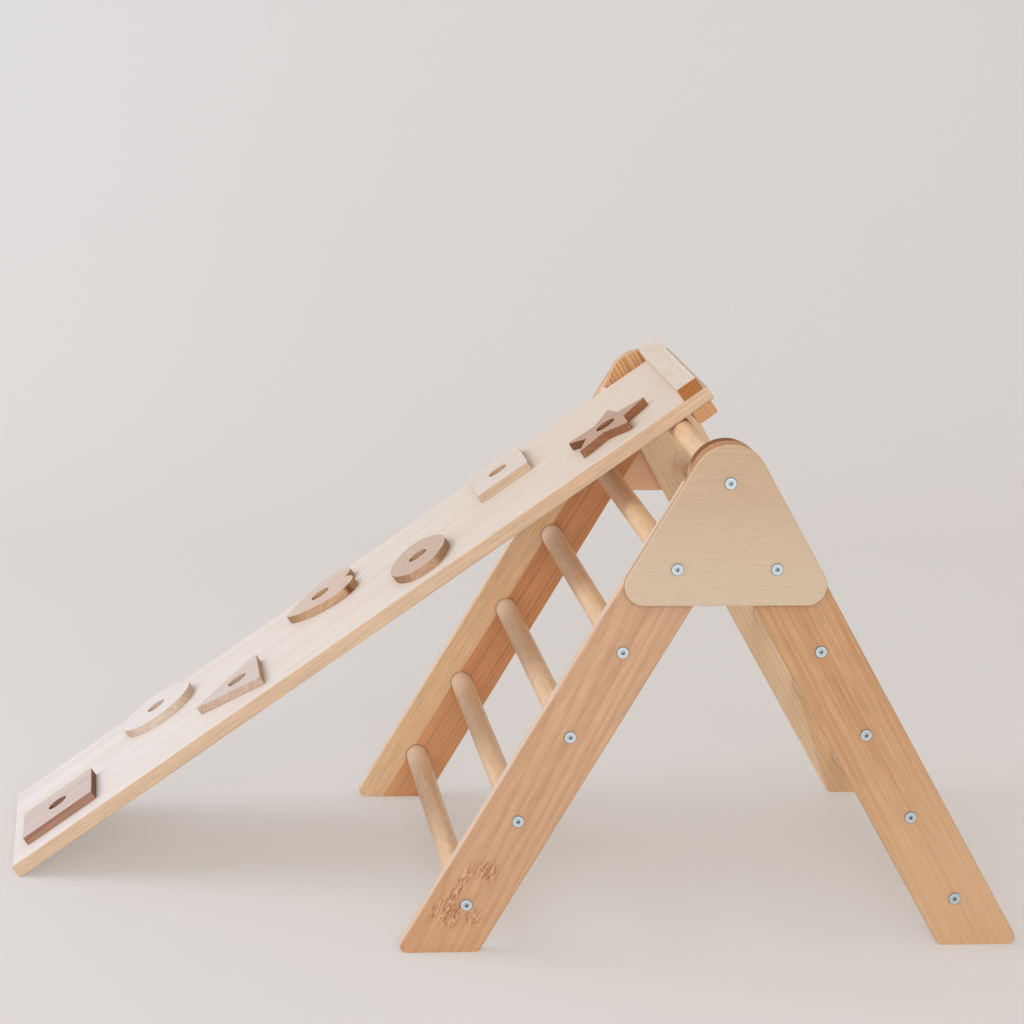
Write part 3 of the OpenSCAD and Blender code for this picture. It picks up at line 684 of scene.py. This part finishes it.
def paint_head_shading(made, turn):
    """Adds the painted shade rings of a bolt head to a metal, about every bolt along a rail of that
    turn.
    """
    tree = made.node_tree
    shader = tree.nodes["Principled BSDF"]
    place = add(tree, "ShaderNodeTexCoord")
    rail = add(tree, "ShaderNodeMapping", {"Vector": place.outputs["Object"], "Location": apex,
               "Rotation": turn, "Scale": (MM, MM, MM)}, vector_type="TEXTURE")
    axes = add(tree, "ShaderNodeSeparateXYZ", {0: rail.outputs[0]})
    step = add(tree, "ShaderNodeMath", {0: axes.outputs["X"], 1: RUNG_PITCH / 2,
               2: -RUNG_PITCH / 2}, operation="WRAP")
    around = add(tree, "ShaderNodeCombineXYZ", {0: step.outputs[0], 1: axes.outputs["Z"]})
    radius = add(tree, "ShaderNodeVectorMath", {0: around.outputs[0]}, operation="LENGTH")
    share = add(tree, "ShaderNodeMath", {0: radius.outputs["Value"], 1: 1 / HEAD_RADIUS},
                operation="MULTIPLY")
    rings = add(tree, "ShaderNodeValToRGB", {"Fac": share.outputs[0]},
                stops=[(stop, tone(code)) for stop, code in HEAD_SHADING])
    plain = shader.inputs["Base Color"].links[0].from_socket
    ringed = add(tree, "ShaderNodeVectorMath", {0: plain, 1: rings.outputs["Color"]},
                 operation="MULTIPLY")
    tree.links.new(ringed.outputs[0], shader.inputs["Base Color"])
    return made


# %% [markdown]
# Right and left bolts share a metal but not a slope, so the heads have two materials. Brads and
# screws are too small for rings and take the plain zinc.

# %% Fasteners
zinc = metal("zinc_plated_steel", "#dfe5ea", 0.38, 0.05 * MM)
head_right = paint_head_shading(metal("zinc_bolt_heads_right", "#f4f8fa", 0.42, 0.05 * MM), right_turn)
head_left = paint_head_shading(metal("zinc_bolt_heads_left", "#f4f8fa", 0.42, 0.05 * MM), left_turn)
brass = metal("turned_brass", "#d8b56a", 0.35, 0.03 * MM)
fasteners = {"right_rail_bolts": head_right, "plate_bolts": head_right,
             "left_rail_bolts": head_left, "pivot_bolts": head_left, "cleat_brads": zinc,
             "hook_screws": zinc, "right_rung_inserts": brass, "left_rung_inserts": brass}
for node, material in fasteners.items():
    dress(node, material)
print("fasteners dressed", len(fasteners))

# %% [markdown]
# Birch plywood has a calm face, peeled from a turning log, with faint waves that swell and pinch
# as the knife followed the log. The outer face grows warmer toward the top. The inner faces, which
# see only the rungs, are painted warmer and paler: painted bounce light in the shade between the
# rails.

# %% A peeled face
def peeled_face(tree, place, sheet, axes, outward):
    """The veneer's colour and its pores. outward: the outer face's side in Y."""
    # the knife's drift, about 250 mm long and 50 mm high
    slow = add(tree, "ShaderNodeVectorMath", {0: sheet, 1: (0.004, 0.0, 0.02)},
               operation="MULTIPLY")
    sway = add(tree, "ShaderNodeTexNoise", {"Vector": slow.outputs[0], "Scale": 1.0,
               "Detail": 2.0})
    lift = add(tree, "ShaderNodeMath", {0: sway.outputs["Fac"], 1: 90.0}, operation="MULTIPLY")
    height = add(tree, "ShaderNodeMath", {0: axes.outputs["Z"], 1: lift.outputs[0]},
                 operation="ADD")
    # waves about 6 mm apart
    wave = add(tree, "ShaderNodeTexNoise", {"W": height.outputs[0], "Scale": 0.16,
               "Detail": 4.0, "Roughness": 0.7}, noise_dimensions="1D")
    # pores about 1.5 mm high and 30 mm long, drawn coarser than real ones so they show
    fine = add(tree, "ShaderNodeVectorMath", {0: sheet, 1: (0.03, 0.3, 0.7)},
               operation="MULTIPLY")
    pores = add(tree, "ShaderNodeTexNoise", {"Vector": fine.outputs[0], "Scale": 1.0,
                "Detail": 4.0, "Roughness": 0.6})
    # warmer from 150 mm below the top rung to 50 mm above it
    fade = add(tree, "ShaderNodeMapRange", {"Value": axes.outputs["Z"], "From Min": -150.0,
               "From Max": 50.0}, interpolation_type="SMOOTHSTEP")
    low = add(tree, "ShaderNodeMix", {0: fade.outputs["Result"], 6: tone("#c7b298"),
              7: tone("#b99a7b")}, data_type="RGBA")
    high = add(tree, "ShaderNodeMix", {0: fade.outputs["Result"], 6: tone("#d5bfa4"),
               7: tone("#cdb190")}, data_type="RGBA")
    outer = add(tree, "ShaderNodeMix", {0: wave.outputs["Fac"], 6: low.outputs[2],
                7: high.outputs[2]}, data_type="RGBA")
    # the inner faces are painted paler and warmer: painted bounce light in the shade between the
    # rails
    inner = add(tree, "ShaderNodeMix", {0: wave.outputs["Fac"], 6: tone("#f5c39c"),
                7: tone("#fdd6b6")}, data_type="RGBA")
    away = add(tree, "ShaderNodeVectorMath", {0: place.outputs["Normal"], 1: (0, outward, 0)},
               operation="DOT_PRODUCT")
    out_side = add(tree, "ShaderNodeMath", {0: away.outputs["Value"], 1: -0.5},
                   operation="GREATER_THAN")
    face = add(tree, "ShaderNodeMix", {0: out_side.outputs[0], 6: inner.outputs[2],
               7: outer.outputs[2]}, data_type="RGBA")
    speck = add(tree, "ShaderNodeMapRange", {"Value": pores.outputs["Fac"], "From Min": 0.3,
                "From Max": 0.7, "To Min": 0.93, "To Max": 1.04})
    veneer = add(tree, "ShaderNodeVectorMath", {0: face.outputs[2],
                 "Scale": speck.outputs["Result"]}, operation="SCALE")
    return veneer.outputs[0], pores.outputs["Fac"]


# %% [markdown]
# On the rim the thin plies show, pale and dark in turn, nine in twelve millimetres. They are real
# layers in the pattern, counted from the sheet's face, so they follow the rounded edge.

# %% Plies, and the whole sheet
PLY_COUNT, SHEET = 9, 12.0  # plies, and the sheet's thickness in mm


def plies(tree, axes):
    """Each pair of plies is one pale layer and one that is seen end on and darker."""
    pair = add(tree, "ShaderNodeMath", {0: axes.outputs["Y"], 1: PLY_COUNT / SHEET / 2},
               operation="MULTIPLY")
    turn = add(tree, "ShaderNodeMath", {0: pair.outputs[0]}, operation="FRACT")
    return add(tree, "ShaderNodeValToRGB", {"Fac": turn.outputs[0]}, stops=[
        (0.0, tone("#dfc29b")), (0.47, tone("#d4b289")), (0.53, tone("#a06c40")),
        (0.97, tone("#8f5d36")), (1.0, tone("#dfc29b"))]).outputs["Color"]


def plywood(name, face_y, outward):
    """face_y: metres, where the sheet's lower face lies in Y; outward: its outer side."""
    made, tree, shader, place = blank(name)
    sheet = add(tree, "ShaderNodeMapping", {"Vector": place.outputs["Object"],
                "Location": (apex.x, face_y, apex.z), "Scale": (MM, MM, MM)},
                vector_type="TEXTURE").outputs[0]
    axes = add(tree, "ShaderNodeSeparateXYZ", {0: sheet})
    veneer, pores = peeled_face(tree, place, sheet, axes, outward)
    facing = add(tree, "ShaderNodeVectorMath", {0: place.outputs["Normal"], 1: (0, 1, 0)},
                 operation="DOT_PRODUCT")
    flat = add(tree, "ShaderNodeMath", {0: facing.outputs["Value"]}, operation="ABSOLUTE")
    rim = add(tree, "ShaderNodeMapRange", {"Value": flat.outputs[0], "From Min": 0.9,
              "From Max": 0.7})
    colour = add(tree, "ShaderNodeMix", {0: rim.outputs["Result"], 6: veneer,
                 7: plies(tree, axes)}, data_type="RGBA")
    tree.links.new(colour.outputs[2], shader.inputs["Base Color"])
    sanded = add(tree, "ShaderNodeMapRange", {"Value": pores, "To Min": 0.42, "To Max": 0.6})
    tree.links.new(sanded.outputs["Result"], shader.inputs["Roughness"])
    shader.inputs["Coat Weight"].default_value = 0.2
    shader.inputs["Coat Roughness"].default_value = 0.25
    bump = add(tree, "ShaderNodeBump", {"Height": pores, "Strength": 0.2,
               "Distance": 0.15 * MM})
    tree.links.new(bump.outputs[0], shader.inputs["Normal"])
    return made


ply_near = plywood("sanded_birch_plywood_near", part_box("side_plate_near")[0].y, -1)
ply_far = plywood("sanded_birch_plywood_far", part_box("side_plate_far")[0].y, 1)
print("plywood made", ply_near.name, ply_far.name)

# %% [markdown]
# Hands and feet meet these pieces, so no edge is left sharp. An eased copy is made of each solid:
# its loose triangles are merged, flat areas are joined again, and the crisp edges get a small
# round bevel, as a router and a sanding block would leave it. The copy then stands for the solid.

# %% Easing edges
CRISP = math.radians(25)  # an edge that folds by more than this gets a bevel


def eased(node, radius, material, keep=None):
    """Replaces a solid with a copy whose crisp edges are rounded; keep(edge) picks the edges."""
    bm = bmesh.new()
    bm.from_mesh(nodes[node].data)
    bmesh.ops.remove_doubles(bm, verts=bm.verts, dist=0.005 * MM)
    bmesh.ops.dissolve_limit(bm, angle_limit=math.radians(0.6), verts=bm.verts, edges=bm.edges)
    crisp = [e for e in bm.edges if len(e.link_faces) == 2 and e.calc_face_angle() > CRISP
             and (keep is None or keep(e))]
    bmesh.ops.bevel(bm, geom=crisp, offset=radius, offset_type="OFFSET", segments=3,
                    profile=0.5, affect="EDGES", clamp_overlap=True, material=-1)
    for face in bm.faces:
        face.smooth = True
    mesh = bpy.data.meshes.new(node + "_eased")
    bm.to_mesh(mesh)
    bm.free()
    mesh.set_sharp_from_angle(angle=math.radians(38))
    mesh.materials.append(material)
    piece = bpy.data.objects.new(node + "_eased", mesh)
    bpy.context.scene.collection.objects.link(piece)
    weigh = piece.modifiers.new("even_shading", "WEIGHTED_NORMAL")
    weigh.keep_sharp = True
    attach(piece, nodes[node]["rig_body"])
    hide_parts(node)
    print(node, "eased by", round(radius / MM, 2), "mm:", len(crisp), "edges,", len(mesh.polygons),
          "faces")
    return piece


# %% [markdown]
# The plates are rounded over on their outer and inner rims only. The bolt holes stay crisp under
# the heads, so edges close to a bolt are left out.

# %% Side plates
HOLE_CLEAR = 12.0 * MM  # further from a bolt than this, an edge belongs to the rim
rung_down = RUNG_PITCH * MM * Vector((math.cos(RAIL_TURN), 0, -math.sin(RAIL_TURN)))
plate_bolt_spots = [apex, apex + rung_down, apex + rung_down * Vector((-1, 1, 1))]


def on_rim(edge):
    """True for the edges of a plate's outline."""
    halfway = (edge.verts[0].co + edge.verts[1].co) / 2
    return all((halfway - spot).xz.length > HOLE_CLEAR for spot in plate_bolt_spots)


for node, material in (("side_plate_near", ply_near), ("side_plate_far", ply_far)):
    eased(node, 2.0 * MM, material, keep=on_rim)

# %% [markdown]
# Seven holds, cut from hardwood offcuts and oiled: some dark, some mid brown, some pale. Their tops
# get a painted highlight, paler than their sides, for the light from above. Each has its own slice
# of grain, because each came from another offcut, and the heart keeps a small dark knot in its
# side.

# %% Holds
HOLDS = {
    # slot; sides: early, late, drift; then the top's painted highlight
    "hold_square": ("hold_dark_wood", "#ab8068", "#7e5740", "#9c725b", "#dccdc6"),
    "hold_circle": ("hold_pale_wood", "#dcc9b6", "#cbb29a", "#d5c0ab", "#e6e2e1"),
    "hold_triangle": ("hold_pale_wood", "#d3b8a4", "#b7967e", "#c9ac96", "#d5c9c4"),
    "hold_heart": ("hold_mid_wood", "#cfa987", "#aa825f", "#c39d79", "#d9c8bd"),
    "hold_oval": ("hold_mid_wood", "#c9a687", "#a27b5a", "#bd9876", "#cdb7a6"),
    "hold_rectangle": ("hold_pale_wood", "#dabfa1", "#bd9d7f", "#d0b294", "#e1dad3"),
    "hold_star": ("hold_dark_wood", "#a5714d", "#7b4d2e", "#996441", "#caa994"),
}
heart_knot = [((45, -50, 0), (11, 16, 30))]
# each hold's top tone is a painted highlight on its upward face
for number, (node, (slot, early, late_tone, drift, top)) in enumerate(HOLDS.items()):
    wood = timber("oiled_hardwood_" + node.removeprefix("hold_"), ramp_lie, tuple(middle(node)),
                  (60 + 17 * number, 45 + 9 * number), 4.0, (early, late_tone, drift), late=0.55,
                  fleck=0.35, knots=heart_knot if node == "hold_heart" else (),
                  stain=(0.97, "#733308", 0.0), end=late_tone, highlight=(up_ramp, 0.8, top, top))
    eased(node, 1.2 * MM, wood)
dress("hold_dowels", beech)

# %% [markdown]
# The studio is a pale floor that sweeps up into a pale wall, in matt paint. The paint is lit like
# anything else, and part of it also shows its own colour, but only to the eye and in mirror
# images. So it stays pale round the object without sending more light to it, and keeps the
# object's shadow. From behind, the wall is left out, so that the object's back can be viewed.

# %% Floor paint
WALL_WARM = 0.5  # m above the floor, where the glow has lost the floor's warmth
OWN_GLOW = 0.42  # share of the paint that is seen by its own colour


def own_colour(tree, place, low_code, high_code):
    """Warm near the floor, where boards throw back a little colour, and neutral up the wall."""
    rise = add(tree, "ShaderNodeSeparateXYZ", {0: place.outputs["Object"]})
    climb = add(tree, "ShaderNodeMapRange", {"Value": rise.outputs["Z"], "To Max": 1.0,
                "From Max": WALL_WARM})
    wall = add(tree, "ShaderNodeMix", {0: climb.outputs["Result"], 6: tone(low_code),
               7: tone(high_code)}, data_type="RGBA")
    return add(tree, "ShaderNodeEmission", {"Color": wall.outputs[2], "Strength": 1.0})


def floor_paint(name, code, low_code, high_code):
    """code: the paint; low_code, high_code: the colour that straight views see."""
    made, tree, shader, place = blank(name)
    haze = add(tree, "ShaderNodeTexNoise", {"Vector": place.outputs["Object"], "Scale": 1.3,
               "Detail": 3.0})
    drift = add(tree, "ShaderNodeMapRange", {"Value": haze.outputs["Fac"], "To Min": 0.985,
                "To Max": 1.015})
    paint = add(tree, "ShaderNodeVectorMath", {0: tone(code)[:3], "Scale": drift.outputs["Result"]},
                operation="SCALE")
    tree.links.new(paint.outputs[0], shader.inputs["Base Color"])
    shader.inputs["Roughness"].default_value = 0.9
    shader.inputs["Specular IOR Level"].default_value = 0.2
    ray = add(tree, "ShaderNodeLightPath")
    seen = add(tree, "ShaderNodeMath", {0: ray.outputs["Is Camera Ray"],
               1: ray.outputs["Is Glossy Ray"]}, operation="MAXIMUM")
    seen = add(tree, "ShaderNodeMath", {0: seen.outputs[0],
               1: ray.outputs["Is Transmission Ray"]}, operation="MAXIMUM")
    share = add(tree, "ShaderNodeMath", {0: seen.outputs[0], 1: OWN_GLOW}, operation="MULTIPLY")
    glow = own_colour(tree, place, low_code, high_code)
    mixed = add(tree, "ShaderNodeMixShader", {0: share.outputs[0], 1: shader.outputs[0],
                2: glow.outputs[0]})
    side = add(tree, "ShaderNodeNewGeometry")
    behind = add(tree, "ShaderNodeMath", {0: side.outputs["Backfacing"],
                 1: ray.outputs["Is Camera Ray"]}, operation="MULTIPLY")
    clear = add(tree, "ShaderNodeBsdfTransparent")
    one_way = add(tree, "ShaderNodeMixShader", {0: behind.outputs[0], 1: mixed.outputs[0],
                  2: clear.outputs[0]})
    tree.links.new(one_way.outputs[0], tree.nodes["Material Output"].inputs["Surface"])
    return made


# %% [markdown]
# The sweep is one sheet: an edge is drawn back along the floor, spun through a quarter turn, and
# drawn up as the wall. Its faces look up and toward the object.

# %% Floor and wall
FLOOR_NEAR, FLOOR_FAR, SWEEP, WALL_RISE, HALF_WIDTH = -7.0, 2.0, 1.2, 6.0, 9.0  # metres
HAIR = 1e-4  # metres, the play in telling which vertices end the curve


def new_verts(result):
    """The vertices that an extrusion made."""
    return [v for v in result["geom"] if isinstance(v, bmesh.types.BMVert)]


bm = bmesh.new()
front = [bm.verts.new((x, FLOOR_NEAR, 0)) for x in (-HALF_WIDTH, HALF_WIDTH)]
far = new_verts(bmesh.ops.extrude_edge_only(bm, edges=[bm.edges.new(front)]))
bmesh.ops.translate(bm, verts=far, vec=(0, FLOOR_FAR - FLOOR_NEAR, 0))
bmesh.ops.spin(bm, geom=[e for e in bm.edges if all(v in far for v in e.verts)],
               cent=(0, FLOOR_FAR, SWEEP), axis=(1, 0, 0), angle=math.pi / 2, steps=24)
top = [e for e in bm.edges if all(v.co.y > FLOOR_FAR + SWEEP - HAIR and v.co.z > SWEEP - HAIR
                                  for v in e.verts)]
bmesh.ops.translate(bm, verts=new_verts(bmesh.ops.extrude_edge_only(bm, edges=top)),
                    vec=(0, 0, WALL_RISE))
bmesh.ops.recalc_face_normals(bm, faces=bm.faces)
lowest = min(bm.faces, key=lambda face: face.calc_center_median().z)
if lowest.normal.z < 0:
    bmesh.ops.reverse_faces(bm, faces=bm.faces)
for face in bm.faces:
    face.smooth = True
mesh = bpy.data.meshes.new("studio_sweep")
bm.to_mesh(mesh)
bm.free()
mesh.materials.append(floor_paint("matt_pale_floor_paint", "#e4e4e6", "#dfd8d0", "#d7d5d0"))
floor = bpy.data.objects.new("studio_sweep", mesh)
bpy.context.scene.collection.objects.link(floor)
print("studio sweep", len(mesh.polygons), "faces")

# %% [markdown]
# The light is soft daylight: a pale, slightly warm world for the even fill, and two large square
# panels in the place of windows. The one on the left gives the direction, and the broad one in
# front keeps the near faces clear.

# %% Light
world = bpy.data.worlds.new("even_daylight")
bpy.context.scene.world = world
world.use_nodes = True
sky = world.node_tree.nodes["Background"]
sky.inputs["Color"].default_value = tone("#fff0e2")
sky.inputs["Strength"].default_value = 0.62


def panel(name, place, aim, size, watts, code):
    """A square soft light at a place, turned to face an aim point."""
    lamp = bpy.data.lights.new(name, "AREA")
    lamp.shape = "SQUARE"
    lamp.size = size
    lamp.energy = watts
    lamp.color = tone(code)[:3]
    held = bpy.data.objects.new(name, lamp)
    bpy.context.scene.collection.objects.link(held)
    held.matrix_world = Matrix.Translation(place) @ (
        Vector(aim) - Vector(place)).to_track_quat("-Z", "Y").to_matrix().to_4x4()
    print(name, watts, "W over", size, "m")


panel("window_left", (-4.0, 0.5, 2.1), (0, 0, 0.3), 3.0, 102, "#e2efff")
panel("window_front", (-0.6, -6.4, 2.2), (0, 0, 0.4), 3.8, 200, "#f2f8ff")

# %% [markdown]
# The camera stands about 4.5 m away, well above the top rung, and looks a little down through a
# long lens, which keeps the rails nearly parallel. Its place, its turn and its lens were worked
# out from how the bolt heads and rails line up.

# %% Camera
YAW, PITCH, ROLL = (math.radians(a) for a in (7.10, -11.90, 1.49))
FROM_APEX = (-0.77205, -4.39747, 1.42456)  # m; across and back from the apex, up from the floor
FOCAL, FRAME, SENSOR = 3410.35, 1024, 36.0  # focal length and frame in pixels; sensor in mm
ahead = Vector((math.sin(YAW) * math.cos(PITCH), math.cos(YAW) * math.cos(PITCH), math.sin(PITCH)))
right = ahead.cross(Vector((0, 0, 1))).normalized()
above = right.cross(ahead)
side_way = math.cos(ROLL) * right + math.sin(ROLL) * above
top_way = -math.sin(ROLL) * right + math.cos(ROLL) * above
turn = Matrix((side_way, top_way, -ahead)).transposed()
lens = bpy.data.cameras.new("eye")
lens.sensor_width = SENSOR
lens.lens = FOCAL / FRAME * SENSOR
lens.clip_end = 60.0
camera = bpy.data.objects.new("eye", lens)
bpy.context.scene.collection.objects.link(camera)
stand = Vector(FROM_APEX) + Vector((apex.x, 0, 0))
camera.matrix_world = Matrix.Translation(stand) @ turn.to_4x4()
bpy.context.scene.camera = camera
bpy.context.scene.view_settings.view_transform = "Standard"
print("lens", round(lens.lens, 2), "mm")
